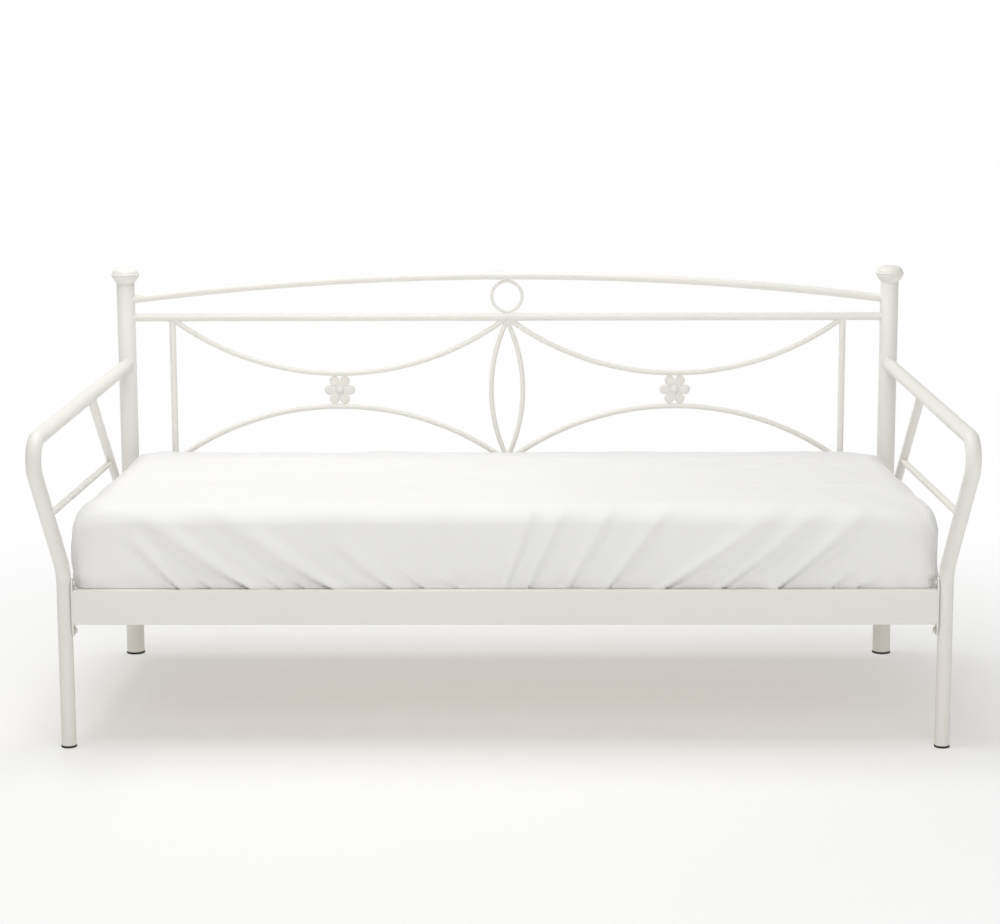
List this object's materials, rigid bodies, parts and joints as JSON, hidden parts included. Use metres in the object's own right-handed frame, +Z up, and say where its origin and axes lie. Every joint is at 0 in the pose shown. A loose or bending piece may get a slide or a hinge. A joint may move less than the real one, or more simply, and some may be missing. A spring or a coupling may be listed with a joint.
{
  "type": "daybed",
  "caption": "Painted tubular steel daybed: scrolled back with swags, ring and flowers between two capped posts, bent-tube arms, slats, mattress and fitted sheet.",
  "frame": {"origin": "on the floor, in the middle of the bed's outline", "axes": "+X to the right of someone who faces the bed, +Y towards the back, +Z up"},
  "size_m": [2.146, 1.2776, 1.0723],
  "materials": {
    "frame_paint": "satin cream powder coat",
    "cap_paint": "satin cream paint",
    "glide_plastic": "matt black",
    "zinc_steel": "zinc plated",
    "beech": "planed, unfinished",
    "mattress_ticking": "woven ticking",
    "sheet_cotton": "plain cotton weave"
  },
  "bodies": {
    "frame": {"arm_and_leg_left": "frame_paint", "arm_and_leg_right": "frame_paint", "arm_bolt_left": "zinc_steel", "arm_bolt_right": "zinc_steel", "back_flower_left": "frame_paint", "back_flower_right": "frame_paint", "back_hill_left": "frame_paint", "back_hill_right": "frame_paint", "back_leaf_arc_left": "frame_paint", "back_leaf_arc_right": "frame_paint", "back_lower_rail": "frame_paint", "back_ring": "frame_paint", "back_straight_rail": "frame_paint", "back_swag_left": "frame_paint", "back_swag_right": "frame_paint", "back_top_rail": "frame_paint", "back_upright_left": "frame_paint", "back_upright_right": "frame_paint", "end_rail_bolt_left": "zinc_steel", "end_rail_bolt_right": "zinc_steel", "end_rail_left": "frame_paint", "end_rail_right": "frame_paint", "front_end_plate_left": "frame_paint", "front_end_plate_right": "frame_paint", "front_glide_left": "glide_plastic", "front_glide_right": "glide_plastic", "front_lower_bolt_left": "zinc_steel", "front_lower_bolt_right": "zinc_steel", "front_rail": "frame_paint", "front_upper_bolt_left": "zinc_steel", "front_upper_bolt_right": "zinc_steel", "post_cap_left": "cap_paint", "post_cap_right": "cap_paint", "rear_end_plate_left": "frame_paint", "rear_end_plate_right": "frame_paint", "rear_glide_left": "glide_plastic", "rear_glide_right": "glide_plastic", "rear_lower_bolt_left": "zinc_steel", "rear_lower_bolt_right": "zinc_steel", "rear_post_left": "frame_paint", "rear_post_right": "frame_paint", "rear_rail": "frame_paint", "rear_upper_bolt_left": "zinc_steel", "rear_upper_bolt_right": "zinc_steel", "side_bar_left": "frame_paint", "side_bar_right": "frame_paint", "side_strut_left": "frame_paint", "side_strut_right": "frame_paint", "slat_01": "beech", "slat_02": "beech", "slat_03": "beech", "slat_04": "beech", "slat_05": "beech", "slat_06": "beech", "slat_07": "beech", "slat_08": "beech", "slat_09": "beech", "slat_10": "beech"},
    "mattress": {"mattress": "mattress_ticking", "fitted_sheet": "sheet_cotton"}
  },
  "joints": [
    {"name": "mattress_lift", "type": "slide", "parent": "frame", "child": "mattress", "axis": [0, 0, 1], "range_m": [0, 0.72]}
  ]
}
